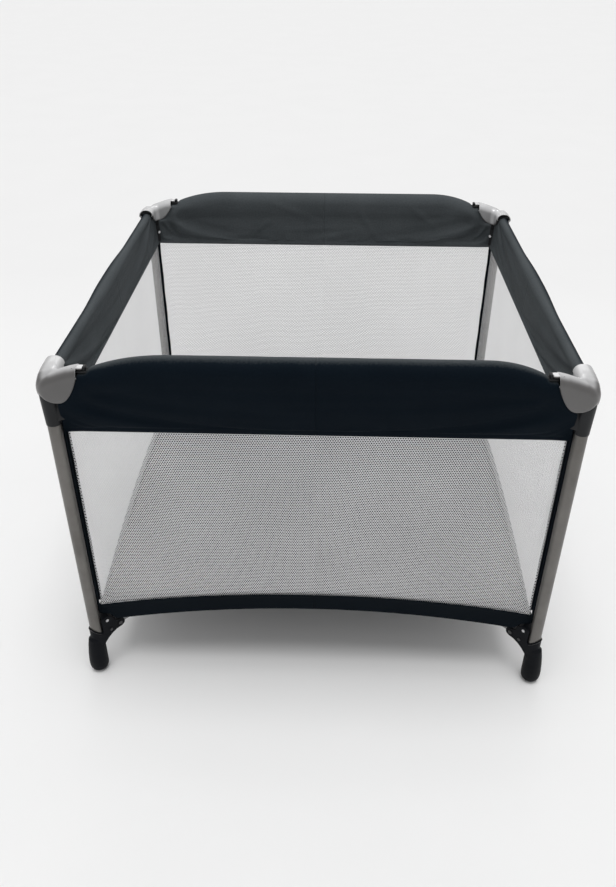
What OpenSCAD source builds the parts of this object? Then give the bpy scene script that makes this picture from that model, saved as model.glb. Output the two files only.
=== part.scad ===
// Folding playpen: four upright legs, top rails hinged at mid side, a floor frame on a central hub,
// net walls, padded rail covers and a folding mat.
// Origin: on the floor under the centre of the hub. +Z up, +X to the right, +Y to the back.
// One corner is drawn once in its own frame (leg axis at the origin, +X and +Y along the two
// sides that meet there) and repeated by quarter turns.

/* [Frame] */
// Distance between the axes of two neighbouring legs
leg_spacing = 950; // [900:10:1000]
// Outer diameter of the leg tubes
leg_d = 25; // [22:0.5:26]
// Outer diameter of the rail tubes and arm tubes
bar_d = 20; // [16:0.5:20]
// Wall thickness of every tube
tube_wall = 1.2; // [1:0.1:2]
// Height of the rail pivots
rail_z = 729; // [724:1:732]
// Height of the arm pivots
arm_z = 108; // [104:1:112]
// Diameter of the pivot pins
pin_d = 6; // [4:0.5:7]

/* [Hub] */
// Radius of the hub
hub_r = 66; // [60:1:75]
// Thickness of the hub body
hub_h = 38; // [34:1:42]

/* [Soft parts] */
// How far the walls stand inside the leg axes
wall_inset = 18; // [17:0.5:20]
// Thickness of the net walls
net_t = 1.5; // [1:0.1:2]
// Height of the seam between rail cover and net
seam_z = 618; // [600:1:630]
// Height of the lower band's top edge at mid side
band_top_z = 216; // [205:1:225]
// Height of the lower band's bottom edge at mid side
band_bottom_z = 175; // [165:1:185]
// Radius of the padded roll on the rails
roll_r = 22; // [21:0.5:24]
// Height of the middle of the padded roll
roll_z = 763; // [760:1:766]
// Underside of the floor fabric
floor_z = 184; // [182:1:186]
// Side of the square mat
mat_side = 890; // [860:5:890]
// Thickness of the mat
mat_t = 26; // [20:1:30]

/* [Hidden] */
half = leg_spacing / 2;
leg_r = leg_d / 2;
bar_r = bar_d / 2;
pin_r = pin_d / 2;
running = 0.05;                 // radial clearance of a bar on its pin
side_gap = 0.5;                 // clearance beside a bar in its slot
slot_half = bar_r + side_gap;
corner_pivot = 45;              // leg axis to rail pivot, along the side
lock_pivot = 22;                // mid side to rail pivot in the lock
foot_pivot = 52;                // leg axis to arm pivot, along the diagonal
bar_len = half - corner_pivot - lock_pivot;
arm_len = bar_len * sqrt(2);    // keeps rails and arms turning by equal angles
hub_pivot = (corner_pivot + lock_pivot) * sqrt(2) - foot_pivot;
cheek_r = 13.5;                 // half width of the corner and lock housings
cap_r = 16;                     // half width of the corner cap
cap_wall = 2.2;
cap_end = 60;                   // leg axis to the end of the cap
cover_start = 61.5;             // leg axis to the end of a rail cover
mid_gap = 0.1;                  // half the gap where two halves meet at mid side
floor_t = 3;
floor_side = 2 * (half - wall_inset - net_t);
mat_z = floor_z + floor_t + 0.5;
mat_base = 5;                   // thickness of the sheet that joins the four mat panels
mat_fold = 3;                   // width of a fold between two panels

corner_names = ["front_left", "front_right", "back_right", "back_left"];
first_rails = ["front_left", "right_front", "back_right", "left_back"];
second_rails = ["left_front", "front_right", "right_back", "back_left"];
sides = ["front", "right", "back", "left"];
leg_parts = ["leg_tube", "foot", "corner_housing", "corner_cap", "leg_hardware", "wall_fabric"];

// ---- Placing -------------------------------------------------------------------------------

module at_corner(i) rotate(90 * i) translate([-half, -half, 0]) children();

module towards_hub() rotate(45) children();

module along_second_side() mirror([1, -1, 0]) children();

// The high arm of a corner lies along the front or the back: every other corner is a mirror image
module swap(i) mirror([i % 2, -(i % 2), 0]) children();
module at_mid_side(i) rotate(90 * i) translate([0, -half, rail_z]) children();

module at_arm(i) rotate(225 + 90 * i) children();

// Cylinder whose axis lies along Y, centred on the origin
module cross_pin(r, len) rotate([90, 0, 0]) cylinder(r = r, h = len, center = true, $fn = 48);

// Cylinder from the origin along +X
module x_cylinder(r, len) rotate([0, 90, 0]) cylinder(r = r, h = len, $fn = 64);

// ---- Tubes ---------------------------------------------------------------------------------

// Tube along +X with a pivot hole at each end and its ends rounded about the holes
module pivot_bar(len) {
    difference() {
        intersection() {
            translate([-bar_r - 1, 0, 0]) x_cylinder(bar_r, len + 2 * bar_r + 2);
            union() {
                translate([0, -bar_r - 1, -bar_r - 1]) cube([len, 2 * bar_r + 2, 2 * bar_r + 2]);
                for (x = [0, len]) translate([x, 0, 0]) cross_pin(bar_r, 2 * bar_r + 2);
            }
        }
        translate([-bar_r - 2, 0, 0]) x_cylinder(bar_r - tube_wall, len + 2 * bar_r + 4);
        for (x = [0, len]) translate([x, 0, 0]) cross_pin(pin_r + running, 2 * bar_r + 4);
    }
}

module leg_tube() color([0.42, 0.41, 0.40])
    translate([0, 0, 60]) difference() {
        cylinder(r = leg_r, h = 662, $fn = 96);
        translate([0, 0, -1]) cylinder(r = leg_r - tube_wall, h = 664, $fn = 96);
    }

module arm_tube() color([0.55, 0.55, 0.56])
    translate([hub_pivot, 0, arm_z]) pivot_bar(arm_len);

module rail_tube() color([0.55, 0.55, 0.56])
    translate([corner_pivot, 0, rail_z]) pivot_bar(bar_len);

// ---- Foot ----------------------------------------------------------------------------------

foot_shift = 7;                 // the bulb of the foot stands this far outside the leg axis
bracket_half = 14.5;

// Side of the bracket that carries the arm, X towards the hub, Y up
module bracket_side() {
    translate([foot_pivot, arm_z]) circle(r = 11.5, $fn = 64);
    polygon([[0, 60], [10, 74], [20, 84], [31, 91], [42, 95.5], [52, 96.5], [60, 100.5],
             [62, 111], [54, 119], [45, 122], [39, 128], [35, 139], [27, 144], [9, 144],
             [9, 105], [0, 105]]);
}

// Sleeve round the leg, its rim slanting down towards the hub
module foot_collar() difference() {
    translate([0, 0, 30]) cylinder(r = 14.4, h = 100, $fn = 96);
    towards_hub() translate([0, 0, 113]) rotate([0, 42, 0]) translate([-60, -60, 0]) cube([120, 120, 60]);
}

module foot() color([0.10, 0.11, 0.12])
    difference() {
        union() {
            towards_hub() translate([-foot_shift, 0, 0])
                rotate_extrude($fn = 96) polygon([[0, 0], [8, 0], [13.5, 1.8], [17.6, 5.6], [20, 11.5],
                    [20.8, 19], [20.6, 32], [19.2, 50], [16.6, 72], [13.2, 92], [0, 104]]);
            foot_collar();
            towards_hub() rotate([90, 0, 0])
                linear_extrude(2 * bracket_half, center = true) bracket_side();
        }
        translate([0, 0, 60]) cylinder(r = leg_r, h = 100, $fn = 96);
        towards_hub() translate([foot_pivot - slot_half, -slot_half, 50])
            cube([60, 2 * slot_half, 120]);
        towards_hub() translate([foot_pivot, 0, arm_z]) cross_pin(pin_r, 40);
    }

// ---- Corner at the top of a leg ------------------------------------------------------------

// Side of a housing arm, X along the side, Y up; k is 0 for the high arm under a padded rail
// and 1 for the low arm under a plain one
module cheek_side(k) {
    top = [[[57, 757.5], [45, 754], [30, 749.5], [10, 740.5], [0, 731]],
           [[57, 745.5], [45, 744.5], [30, 742.5], [10, 738.5], [0, 731]]];
    polygon(concat([[0, 700], [20, 700], [33, 704], [44, 712], [57, 722]], top[k]));
}

module housing_arm(k) {
    difference() {
        rotate([90, 0, 0]) linear_extrude(2 * cheek_r, center = true) cheek_side(k);
        translate([corner_pivot - slot_half, -slot_half, 690])
            cube([60, 2 * slot_half, rail_z + slot_half - 690]);
        translate([corner_pivot, 0, rail_z]) cross_pin(pin_r, 40);
    }
    // tongue that lies on the padded roll just outside the cap
    if (k == 0) translate([50, -8, 752.3]) cube([28, 16, 4]);
}

module corner_housing() color([0.12, 0.12, 0.13])
    difference() {
        union() {
            translate([0, 0, 644]) cylinder(r1 = 13.7, r2 = 15.8, h = 56, $fn = 96);
            translate([0, 0, 699]) cylinder(r = 15.8, h = 22, $fn = 96);
            housing_arm(0);
            along_second_side() housing_arm(1);
            // rounded boss on the inner side, between the two rails
            translate([10.5, 10.5, 654]) cylinder(r = 17.5, h = 58, $fn = 96);
        }
        translate([0, 0, 630]) cylinder(r = leg_r, h = 92.2, $fn = 96);
        // room for the shell of the cap
        cap_outline_ring();
    }

// Plan of the cap: an L with a rounded outer corner; grow makes it smaller or larger
module cap_plan(grow) {
    r = cap_r + grow;
    circle(r = r, $fn = 96);
    translate([0, -r]) square([cap_end + 20, 2 * r]);
    translate([-r, 0]) square([2 * r, cap_end + 20]);
    translate([9, 9]) circle(r = 19 + grow, $fn = 96);
}

// Outline of the cap along one side, X along the side, Y up; k is 0 for its high arm, 1 for its low
module cap_side(drop, reach, k) {
    e = cap_end + reach;
    ends = [[[56, 739 - drop], [e, 749 - drop], [e, 762 - drop], [45, 758.5 - drop],
             [30, 753.5 - drop], [10, 746 - drop]],
            [[56, 736 - drop], [e, 741 - drop], [e, 749.5 - drop], [36, 749 - drop],
             [22, 747.5 - drop], [10, 745 - drop]]];
    polygon(concat([[-20, 715 - drop], [-10, 709 - drop], [-2, 703.5 - drop], [6, 699.5 - drop],
             [15, 697 - drop], [25, 697 - drop], [33, 702.5 - drop], [42, 712 - drop],
             [50, 725 - drop]], ends[k], [[-20, 727 - drop]]));
}

module cap_body(grow, drop, reach) {
    intersection() {
        translate([0, 0, 600]) linear_extrude(200) cap_plan(grow);
        union() for (k = [0, 1]) mirror([k, -k, 0])
            translate([0, cap_r + 14, 0]) rotate([90, 0, 0])
                linear_extrude(2 * cap_r + 14) cap_side(drop, reach, k);
    }
}

// Space taken by the cap's walls, so that the housing stops inside them
module cap_outline_ring() {
    difference() {
        cap_body(0.2, 0.3, 1);
        translate([0, 0, 600]) linear_extrude(200) cap_plan(-cap_wall);
    }
}

module corner_cap() color([0.36, 0.36, 0.37]) {
    // short tongue on that of the housing
    translate([cap_end - 1, -7, 758.5]) cube([12, 14, 2.5]);
    difference() {
        cap_body(0, 0, 0);
        intersection() {
            translate([0, 0, 600]) linear_extrude(200) cap_plan(-cap_wall);
            union() for (k = [0, 1]) mirror([k, -k, 0])
                translate([0, cap_r + 20, 0]) rotate([90, 0, 0])
                    linear_extrude(2 * cap_r + 20) polygon(concat(
                        [[-40, 600], [cap_end + 5, 600]],
                        k == 0 ? [[cap_end + 5, 758.5], [cap_end, 758.5], [45, 755.5], [30, 750.5],
                                  [10, 743]]
                               : [[cap_end + 5, 746.5], [cap_end, 746.5], [36, 746], [22, 744.5],
                                  [10, 742]],
                        [[-40, 709]]));
        }
        // the inner skirts are short, so that the boss of the housing shows below them
        translate([cap_r - cap_wall, cap_r - cap_wall, 600]) cube([100, 100, 114]);
        for (k = [0, 1]) mirror([k, -k, 0]) translate([0, cap_r + 9, 0]) rotate([90, 0, 0])
            linear_extrude(10 + cap_wall) polygon([[26, 600], [90, 600], [90, 741], [cap_end, 741],
                [56, 734], [50, 726], [43, 719], [36, 715], [26, 714]]);
    }
}

// ---- Pins and screws of one leg ------------------------------------------------------------

module rivet(r, h) cylinder(r = r, h = h, $fn = 32);

module leg_hardware() color([0.80, 0.80, 0.82]) {
    // rail pivot pins
    for (k = [0, 1]) mirror([k, -k, 0])
        translate([corner_pivot, 0, rail_z]) cross_pin(pin_r, 2 * cheek_r);
    // arm pivot pin with a head on each side of the bracket
    towards_hub() translate([foot_pivot, 0, arm_z]) {
        cross_pin(pin_r, 2 * bracket_half);
        for (s = [-1, 1]) rotate([90 * s, 0, 0]) translate([0, 0, bracket_half]) rivet(4.5, 1.2);
    }
    // rivets that hold the foot bracket, and the screw of the inner boss
    for (p = [[22, 135], [28, 104]], s = [-1, 1])
        towards_hub() translate([p[0], 0, p[1]]) rotate([90 * s, 0, 0])
            translate([0, 0, bracket_half]) rivet(3.5, 1.2);
    towards_hub() translate([10.5 * sqrt(2) + 17.5, 0, 680]) rotate([0, 90, 0]) rivet(3.5, 1.4);
}

// ---- Locks at mid side ---------------------------------------------------------------------

lock_half = lock_pivot + 17;

module lock_housing() color([0.12, 0.12, 0.13])
    difference() {
        translate([-lock_half, -cheek_r, -14]) cube([2 * lock_half, 2 * cheek_r, 22]);
        for (k = [0, 1]) mirror([k, 0, 0]) {
            // slot for the rail end, open outwards and upwards
            translate([lock_pivot - slot_half, -slot_half, -slot_half])
                cube([60, 2 * slot_half, 40]);
            translate([lock_pivot, 0, 0]) cross_pin(pin_r, 40);
        }
        // bore and chamber of the release button
        translate([0, 0, -20]) cylinder(r = 8, h = 12, $fn = 64);
        translate([0, 0, -10.5]) cylinder(r = 10, h = 14, $fn = 64);
    }

module lock_pins() color([0.80, 0.80, 0.82])
    for (s = [-1, 1]) translate([s * lock_pivot, 0, 0]) cross_pin(pin_r, 2 * cheek_r);

module lock_button() color([0.30, 0.30, 0.31])
    rotate_extrude($fn = 64)
        polygon([[0, -20], [6, -20], [7.5, -18.5], [7.5, -10.2], [9.5, -10.2], [9.5, -7], [0, -7]]);

// ---- Hub -----------------------------------------------------------------------------------

hub_bottom = arm_z - 16;

module hub_base() color([0.12, 0.12, 0.13])
    difference() {
        translate([0, 0, hub_bottom]) cylinder(r = hub_r, h = hub_h, $fn = 128);
        for (i = [0:3]) at_arm(i) {
            // slot for the arm, open outwards and downwards
            translate([hub_pivot - slot_half, -slot_half, hub_bottom - 1])
                cube([hub_r, 2 * slot_half, 17 + slot_half]);
            translate([hub_pivot, 0, arm_z]) cross_pin(pin_r, 36);
        }
    }

module hub_foot() color([0.10, 0.11, 0.12])
    rotate_extrude($fn = 96)
        polygon([[0, 0], [26, 0], [28, 3], [26, 8], [16, 14], [13, 40], [13, 80],
                 [16, hub_bottom], [0, hub_bottom]]);

module hub_pins() color([0.80, 0.80, 0.82])
    for (i = [0:3]) at_arm(i) translate([hub_pivot, 0, arm_z]) cross_pin(pin_r, 36);

strap_r = 19;

module hub_cover() color([0.14, 0.14, 0.15])
    difference() {
        rotate_extrude($fn = 128)
            polygon([[0, hub_bottom + hub_h], [hub_r, hub_bottom + hub_h],
                     [hub_r, hub_bottom + hub_h + 3], [hub_r - 8, hub_bottom + hub_h + 7],
                     [0, hub_bottom + hub_h + 9]]);
        for (s = [-1, 1]) translate([s * strap_r, 0, hub_bottom + hub_h + 5])
            cube([2.6, 27, 14], center = true);
    }

module lift_strap() color([0.10, 0.10, 0.11]) {
    top = hub_bottom + hub_h;
    translate([0, 0, top + 26]) difference() {
        cross_pin(strap_r + 1, 25);
        cross_pin(strap_r - 1, 30);
        translate([-30, -20, -40]) cube([60, 40, 40]);
    }
    for (s = [-1, 1]) translate([s * strap_r - 1, -12.5, top]) cube([2, 25, 26]);
}

// ---- Soft parts ----------------------------------------------------------------------------

// Square with rounded corners, centred
module rounded_square(side, r) {
    square([side - 2 * r, side], center = true);
    square([side, side - 2 * r], center = true);
    for (x = [-1, 1], y = [-1, 1])
        translate([x, y] * (side / 2 - r)) circle(r = r, $fn = 48);
}

module floor_fabric() color([0.13, 0.14, 0.16])
    translate([0, 0, floor_z]) linear_extrude(floor_t) difference() {
        rounded_square(floor_side, 8);
        square([90, 60], center = true);
    }

module mat() color([0.20, 0.21, 0.22]) {
    panel = (mat_side - 3 * mat_fold) / 4;
    translate([0, 0, mat_z]) linear_extrude(mat_base) rounded_square(mat_side, 25);
    // four stiff padded panels on one folding sheet
    translate([0, 0, mat_z + mat_base]) linear_extrude(mat_t - mat_base) intersection() {
        rounded_square(mat_side, 25);
        for (i = [0:3])
            translate([-mat_side / 2, -mat_side / 2 + i * (panel + mat_fold)])
                square([mat_side, panel]);
    }
}

// Height of an edge that sags from mid side (z_mid) to the corner, at distance x from mid side
function sag_z(z_mid, drop, x) = z_mid - drop * pow(x / (half - wall_inset), 2);

band_steps = 14;
band_from = 42;                 // the band starts clear of the foot bracket

// One half of a wall seen square on, X from the leg axis towards mid side, Y up
module net_half() {
    x = wall_inset + net_t + 0.1;
    polygon([[x, mat_z], [half - mid_gap, mat_z], [half - mid_gap, seam_z - 0.5],
             [cover_start - 2, seam_z - 0.5], [cover_start - 2, 690], [30, 690], [30, 650],
             [x, 640]]);
}

module band_half() {
    xs = [for (k = [0:band_steps]) band_from + (half - mid_gap - band_from) * k / band_steps];
    polygon(concat(
        [for (x = xs) [x, sag_z(band_top_z, 41, half - x)]],
        [for (k = [band_steps:-1:0]) [xs[k], sag_z(band_bottom_z, 48, half - xs[k])]]));
}

// Sheet of thickness t, its outer face at distance y inside the leg axis
module wall_sheet(y, t) translate([0, y + t, 0]) rotate([90, 0, 0]) linear_extrude(t) children();

module wall_fabric() color([0.80, 0.80, 0.81]) {
    for (k = [0, 1]) mirror([k, -k, 0]) {
        wall_sheet(wall_inset, net_t) net_half();
        wall_sheet(wall_inset - 2.1, 2) band_half();
    }
    // binding along the corner, an angle inside both nets
    b = wall_inset + net_t + 0.1;
    translate([0, 0, mat_z]) linear_extrude(seam_z - 0.5 - mat_z) {
        translate([b, b]) square([10, 1.6]);
        translate([b, b]) square([1.6, 10]);
    }
}

// Section of a rail cover, X inwards from the rail axis, Y up, with its outline moved in by t;
// k is 0 for a padded cover and 1 for a plain one
module cover_section(t, k) {
    r = [roll_r, 18.5][k] - t;
    z = [roll_z, rail_z][k];
    roll = [for (a = [0:7.5:180]) [r * cos(a), z + r * sin(a)]];
    polygon(concat(roll, [[2 - r, rail_z - 20 + t / 3], [wall_inset - 1.5 + t / 2, seam_z + 2 * t],
                          [wall_inset + 1.5 - 0.95 * t, seam_z + 2 * t]]));
}

module rail_cover(k) color([0.08, 0.10, 0.12])
    translate([cover_start, 0, 0]) rotate([90, 0, 90])
        linear_extrude(half - mid_gap - cover_start) difference() {
            cover_section(0, k);
            cover_section(2, k);
        }

// ---- Assembly ------------------------------------------------------------------------------

hub_base();
hub_foot();
hub_cover();
hub_pins();
lift_strap();
floor_fabric();
mat();
for (i = [0:3]) {
    c = corner_names[i];
    at_arm(i) arm_tube();
    at_corner(i) leg_tube();
    at_corner(i) foot();
    at_corner(i) swap(i) corner_housing();
    at_corner(i) swap(i) corner_cap();
    at_corner(i) leg_hardware();
    at_corner(i) wall_fabric();
    at_corner(i) rail_tube();
    at_corner(i) along_second_side() rail_tube();
    at_corner(i) rail_cover(i % 2);
    at_corner(i) along_second_side() rail_cover(1 - i % 2);
    at_mid_side(i) {
        lock_housing();
        lock_pins();
    }
    at_mid_side(i) lock_button();
}
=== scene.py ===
"""A folding playpen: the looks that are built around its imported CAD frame.

Every length is in metres. One corner or one half of a side is shaped once in a frame of its own:
s runs along the side from the axis of the leg, t runs inwards from the side, z runs up. Quarter
turns, and the mirror image for the second side of a corner, put it in its place.
"""

import math

import bmesh
import bpy
import numpy as np
from mathutils import Matrix, Vector


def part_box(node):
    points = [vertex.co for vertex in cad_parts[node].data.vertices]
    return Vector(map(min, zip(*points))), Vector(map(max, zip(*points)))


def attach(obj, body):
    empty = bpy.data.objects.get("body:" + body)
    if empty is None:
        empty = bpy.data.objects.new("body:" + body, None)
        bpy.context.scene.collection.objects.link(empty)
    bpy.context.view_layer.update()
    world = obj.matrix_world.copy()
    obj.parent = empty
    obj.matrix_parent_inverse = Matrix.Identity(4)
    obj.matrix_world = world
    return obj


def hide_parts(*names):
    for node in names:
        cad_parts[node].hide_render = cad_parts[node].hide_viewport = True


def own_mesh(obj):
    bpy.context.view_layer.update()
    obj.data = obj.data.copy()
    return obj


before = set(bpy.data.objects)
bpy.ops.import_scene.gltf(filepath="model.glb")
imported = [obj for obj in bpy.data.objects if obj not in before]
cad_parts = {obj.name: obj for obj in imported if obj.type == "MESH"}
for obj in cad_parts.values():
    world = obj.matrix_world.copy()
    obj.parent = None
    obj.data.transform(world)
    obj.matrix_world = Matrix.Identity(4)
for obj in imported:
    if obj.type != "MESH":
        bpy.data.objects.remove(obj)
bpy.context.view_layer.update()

# ---- Measures taken from the frame -------------------------------------------------

CORNERS = ["front_left", "front_right", "back_right", "back_left"]
SIDES = ["front", "right", "back", "left"]
FIRST_RAILS = ["front_left", "right_front", "back_right", "left_back"]
SECOND_RAILS = ["left_front", "front_right", "right_back", "back_left"]

leg_low, leg_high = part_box("leg_tube_front_left")
HALF = -(leg_low.x + leg_high.x) / 2
rail_low, rail_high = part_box("rail_tube_front_left")
RAIL_Z = (rail_low.z + rail_high.z) / 2
cap_low, cap_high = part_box("corner_cap_front_left")
CAP_HALF = -HALF - cap_low.x
CAP_TOP = cap_high.z
CAP_END = cap_high.y + HALF
cover_low, cover_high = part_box("rail_cover_front_left")
SEAM_Z = cover_low.z
INNER_SEAM_Z = SEAM_Z + 0.030
OUTER_HEMS = {"front": SEAM_Z, "right": INNER_SEAM_Z, "back": INNER_SEAM_Z, "left": INNER_SEAM_Z}
COVER_TOP = cover_high.z
mat_low, mat_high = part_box("mat")
floor_low, floor_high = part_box("floor_fabric")

# ---- Measures of the soft parts ----------------------------------------------------

NET_T = 0.0187                  # the net stands this far inside the leg axes
CORNER_T = 0.0140               # and this far beside a leg
NET_PITCH = 0.0046              # between neighbouring holes of a row
NET_STRAND = 0.00135            # width of the knitted strands
BAND_T = 0.0162
BAND_OUT = 0.0010               # the band stands this far off the yarn
BAND_TOP = mat_high.z + 0.0025  # at mid side
BAND_TOP_DROP = 0.041           # from mid side to the corner
BAND_BOTTOM = 0.175
BAND_BOTTOM_DROP = 0.048
PIPING_R = 0.0028
PIPING_AT = 0.0115              # from the leg axis, along both sides
PIPING_OVER_SEAM = 0.028
ROLL_R = 0.022                  # radius of the padded roll on the front and back rails
PLAIN_R = 0.0123                # radius of the cloth round the plain side rails
LOCK_R = 0.0163                 # and where it passes over a lock
COVER_END = CAP_END + 0.0015


# ---- Meshes ------------------------------------------------------------------------


def new_object(name, points, faces, material, smooth=True):
    """A mesh object from lists or arrays of points and faces."""
    mesh = bpy.data.meshes.new(name)
    mesh.from_pydata([tuple(p) for p in points], [], [tuple(f) for f in faces])
    mesh.validate()
    mesh.polygons.foreach_set("use_smooth", [smooth] * len(mesh.polygons))
    mesh.materials.append(material)
    obj = bpy.data.objects.new(name, mesh)
    bpy.context.scene.collection.objects.link(obj)
    return obj


def grid_faces(rows, columns):
    """Quads of a grid of points in row order."""
    faces = []
    for r in range(rows - 1):
        below, above = r * columns, (r + 1) * columns
        for c in range(columns - 1):
            faces.append((below + c, below + c + 1, above + c + 1, above + c))
    return faces


def ring_faces(rings, sides, closed=False):
    """Faces round a row of rings; closed joins the last to the first, else both ends get a lid."""
    faces = []
    for r in range(rings if closed else rings - 1):
        below, above = r * sides, (r + 1) % rings * sides
        for k in range(sides):
            n = (k + 1) % sides
            faces.append((below + k, below + n, above + n, above + k))
    if not closed:
        faces.append(tuple(reversed(range(sides))))
        faces.append(tuple(range((rings - 1) * sides, rings * sides)))
    return faces


def flipped(faces):
    return [tuple(reversed(f)) for f in faces]


def to_side(points, second=False):
    """Points given as (s, t, z) at the front left corner, in the frame of the whole object."""
    placed = np.array(points, float)
    if second:
        placed = placed[:, [1, 0, 2]]
    placed[:, :2] -= HALF
    return placed


def quarter_turn(obj, turns):
    """Brings a piece from the front left corner, or the front, to another one."""
    obj.matrix_world = Matrix.Rotation(math.pi / 2 * turns, 4, "Z")


def thicken(obj, thickness, offset=-1.0):
    modifier = obj.modifiers.new("thickness", "SOLIDIFY")
    modifier.thickness = thickness
    modifier.offset = offset


def smooth_step(x, low, high):
    """0 below low, 1 above high, and an S curve between them."""
    u = np.clip((np.asarray(x, float) - low) / (high - low), 0, 1)
    return u * u * (3 - 2 * u)


def apply_modifiers(obj):
    """Makes the modified mesh the object's own."""
    graph = bpy.context.evaluated_depsgraph_get()
    mesh = bpy.data.meshes.new_from_object(obj.evaluated_get(graph))
    obj.modifiers.clear()
    obj.data = mesh


# ---- Materials ---------------------------------------------------------------------


class Nodes:
    """Short ways to build a node material around one principled shader."""

    def __init__(self, name, **sockets):
        self.material = bpy.data.materials.new(name)
        self.material.use_nodes = True
        self.tree = self.material.node_tree
        self.shader = self.tree.nodes["Principled BSDF"]
        for socket, value in sockets.items():
            self.shader.inputs[socket.replace("_", " ")].default_value = value
        self.place = self.add("ShaderNodeTexCoord").outputs["Object"]

    def add(self, kind, **settings):
        node = self.tree.nodes.new(kind)
        for setting, value in settings.items():
            setattr(node, setting, value)
        return node

    def link(self, output, node, socket):
        self.tree.links.new(output, node.inputs[socket])

    def uv(self):
        return self.add("ShaderNodeUVMap", uv_map="cloth").outputs["UV"]

    def noise(self, scale, detail, roughness=0.5, place=None, stretch=None):
        node = self.add("ShaderNodeTexNoise")
        node.inputs["Scale"].default_value = scale
        node.inputs["Detail"].default_value = detail
        node.inputs["Roughness"].default_value = roughness
        place = place or self.place
        if stretch:
            mapping = self.add("ShaderNodeMapping")
            mapping.inputs["Scale"].default_value = stretch
            self.link(place, mapping, "Vector")
            place = mapping.outputs["Vector"]
        self.link(place, node, "Vector")
        return node.outputs["Fac"]

    def ridges(self, pitch, direction, place):
        """Rounded ridges that repeat every pitch along X, Y or Z."""
        node = self.add("ShaderNodeTexWave", bands_direction=direction)
        node.inputs["Scale"].default_value = math.pi / 10 / pitch
        self.link(place, node, "Vector")
        return node.outputs["Fac"]

    def facing(self, direction, low, high):
        """How far the surface looks along a direction: 0 below low and 1 above high."""
        dot = self.add("ShaderNodeVectorMath", operation="DOT_PRODUCT")
        self.link(self.add("ShaderNodeTexCoord").outputs["Normal"], dot, 0)
        dot.inputs[1].default_value = direction
        out = self.add("ShaderNodeMapRange", interpolation_type="SMOOTHSTEP")
        out.inputs["From Min"].default_value = low
        out.inputs["From Max"].default_value = high
        self.link(dot.outputs["Value"], out, "Value")
        return out.outputs["Result"]

    def math(self, operation, a, b):
        node = self.add("ShaderNodeMath", operation=operation)
        for socket, value in enumerate((a, b)):
            if isinstance(value, (int, float)):
                node.inputs[socket].default_value = value
            else:
                self.link(value, node, socket)
        return node.outputs["Value"]

    def between(self, factor, low, high):
        """Factor 0 to 1 becomes low to high."""
        node = self.add("ShaderNodeMapRange")
        node.inputs["To Min"].default_value = low
        node.inputs["To Max"].default_value = high
        self.link(factor, node, "Value")
        return node.outputs["Result"]

    def colours(self, factor, stops):
        """Colours the shader by a factor; stops are pairs of a position and a colour."""
        ramp = self.add("ShaderNodeValToRGB")
        elements = ramp.color_ramp.elements
        while len(elements) < len(stops):
            elements.new(0.5)
        for element, (position, colour) in zip(elements, stops):
            element.position = position
            element.color = (*colour, 1)
        self.link(factor, ramp, "Fac")
        self.link(ramp.outputs["Color"], self.shader, "Base Color")

    def roughness(self, factor, low, high):
        self.link(self.between(factor, low, high), self.shader, "Roughness")

    def bump(self, height, distance, strength, under=None):
        """Bumps the surface by a height, on top of an earlier bump if there is one."""
        node = self.add("ShaderNodeBump")
        node.inputs["Strength"].default_value = strength
        node.inputs["Distance"].default_value = distance
        self.link(height, node, "Height")
        if under:
            self.link(under, node, "Normal")
        self.link(node.outputs["Normal"], self.shader, "Normal")
        return node.outputs["Normal"]


def satin_metal(name, dark, light, low, high):
    """Drawn tube with fine lengthwise streaks and a soft, cloudy finish."""
    m = Nodes(name, Metallic=0.75, Coat_Weight=0.12, Coat_Roughness=0.25)
    cloud = m.noise(14, 5, 0.6)
    streak = m.noise(60, 3, 0.6, stretch=(14, 14, 0.4))
    m.colours(cloud, [(0.3, dark), (0.7, light)])
    m.roughness(m.math("MULTIPLY", m.math("ADD", cloud, streak), 0.5), low, high)
    m.bump(streak, 0.0001, 0.25)
    return m.material


def moulded(name, dark, light, roughness, grain=0.00012, coat=0.0, gloss=0.25, metallic=0.0,
            painted_lit_top=None):
    """Moulded plastic: a fine grain and faint flow marks.

    Where it looks up and inwards it can be painted lighter in two more colours, a painted
    highlight as if lit from above; the sides then keep dark and light as painted shade.
    """
    m = Nodes(name, Coat_Weight=coat, Coat_Roughness=0.2, Specular_IOR_Level=gloss,
              Metallic=metallic)
    flow = m.noise(9, 4, 0.55)
    fine = m.noise(900, 2, 0.5)
    stops = [(0.3, dark), (0.72, light)]
    shade = flow
    if painted_lit_top:
        # painted highlight: faces turned up and inwards take the two lighter colours as if lit
        # from above, and the sides stay dark as painted shade
        up_and_in = (0.45, 0.45, 0.77)
        top = m.math("MULTIPLY", m.facing(up_and_in, -0.05, 0.92), 0.8)
        shade = m.math("ADD", top, m.math("MULTIPLY", flow, 0.2))
        stops = [(0.06, dark), (0.16, light), (0.60, painted_lit_top[0]), (0.96, painted_lit_top[1])]
    m.colours(shade, stops)
    m.roughness(flow, roughness - 0.05, roughness + 0.08)
    m.bump(fine, grain, 0.35)
    return m.material


def plated(name, colour):
    """Bright plated steel with a mottled tone, darker below mid height except on the bracket
    rivets.
    """
    m = Nodes(name, Metallic=1.0)
    stain = m.noise(160, 4, 0.6)
    split = m.add("ShaderNodeSeparateXYZ")
    m.link(m.place, split, "Vector")
    rivet_z, rivet_reach, mid_height = 0.136, 0.012, 0.4
    off_rivet = m.math("ABSOLUTE", m.math("SUBTRACT", split.outputs["Z"], rivet_z), 0)
    rivet = m.math("LESS_THAN", off_rivet, rivet_reach)
    bright = m.math("MAXIMUM", rivet, m.math("GREATER_THAN", split.outputs["Z"], mid_height))
    shade = m.math("MULTIPLY", m.between(stain, 0.7, 1.0), m.between(bright, 0.12, 1.0))
    m.colours(shade, [(0.0, (0.01, 0.01, 0.011)), (1.0, colour)])
    m.roughness(stain, 0.18, 0.4)
    m.bump(stain, 0.00004, 0.3)
    return m.material


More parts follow.
